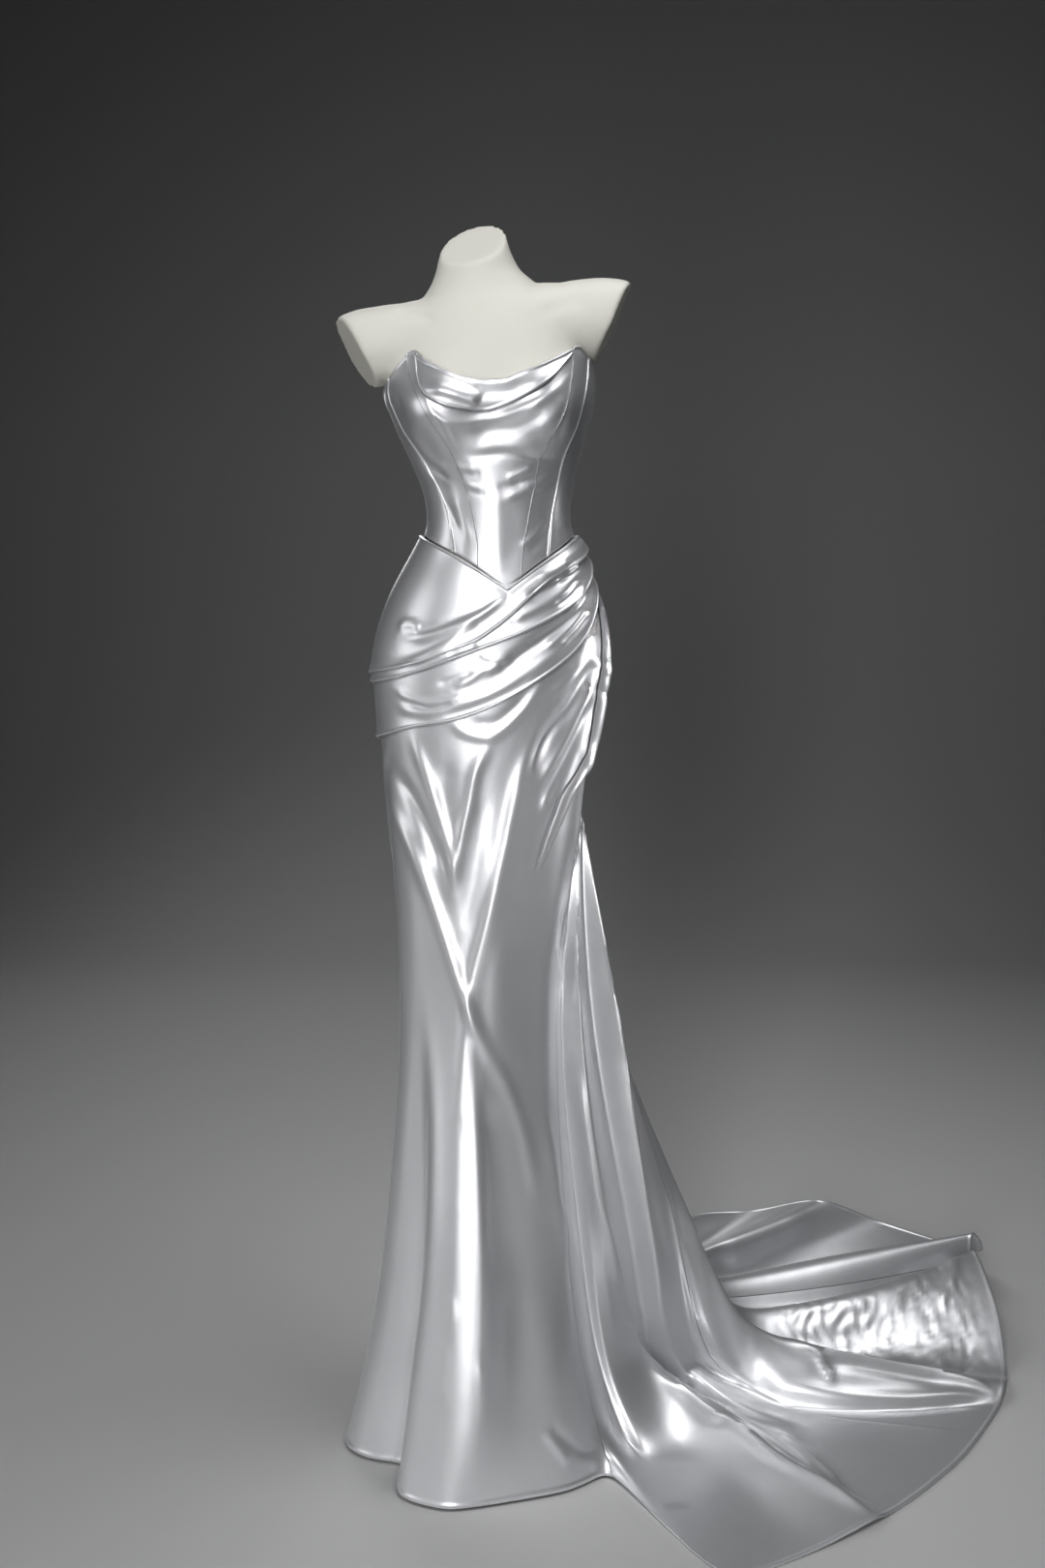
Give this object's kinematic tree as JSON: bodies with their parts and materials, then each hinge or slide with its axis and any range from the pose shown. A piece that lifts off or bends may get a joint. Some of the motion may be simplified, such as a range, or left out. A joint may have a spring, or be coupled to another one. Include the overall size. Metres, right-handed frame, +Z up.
{
  "type": "mermaid prom dress on a limbless dress form",
  "caption": "Strapless silver satin mermaid gown with a basque waist, pleated hips and a long swept train, worn by a limbless dress form on a round-base pole stand.",
  "frame": {"origin": "centre of the stand base's underside, on the floor", "axes": "+Z up; the gown faces -Y; +X is the viewer's right seen from the front, the side that the train sweeps to"},
  "size_m": [1.0441, 0.9974, 1.6373],
  "materials": {
    "satin": "glossy silver-white satin",
    "form_shell": "smooth matt ivory",
    "steel": "brushed"
  },
  "bodies": {
    "root": {"bodice_centre_front": "satin", "bodice_side_front_left": "satin", "bodice_side_front_right": "satin", "bodice_side_left": "satin", "bodice_side_right": "satin", "bodice_back_left": "satin", "bodice_back_right": "satin", "neckline_drape": "satin", "back_placket": "satin", "hip_pleat_upper": "satin", "hip_pleat_middle": "satin", "hip_pleat_lower": "satin", "skirt_front": "satin", "front_cascade": "satin", "train_front_gore": "satin", "train_side_gore": "satin", "train_back_gore": "satin", "skirt_back": "satin", "form_torso": "form_shell", "stand_collar": "steel", "stand_pole": "steel", "stand_base": "steel"}
  },
  "joints": []
}
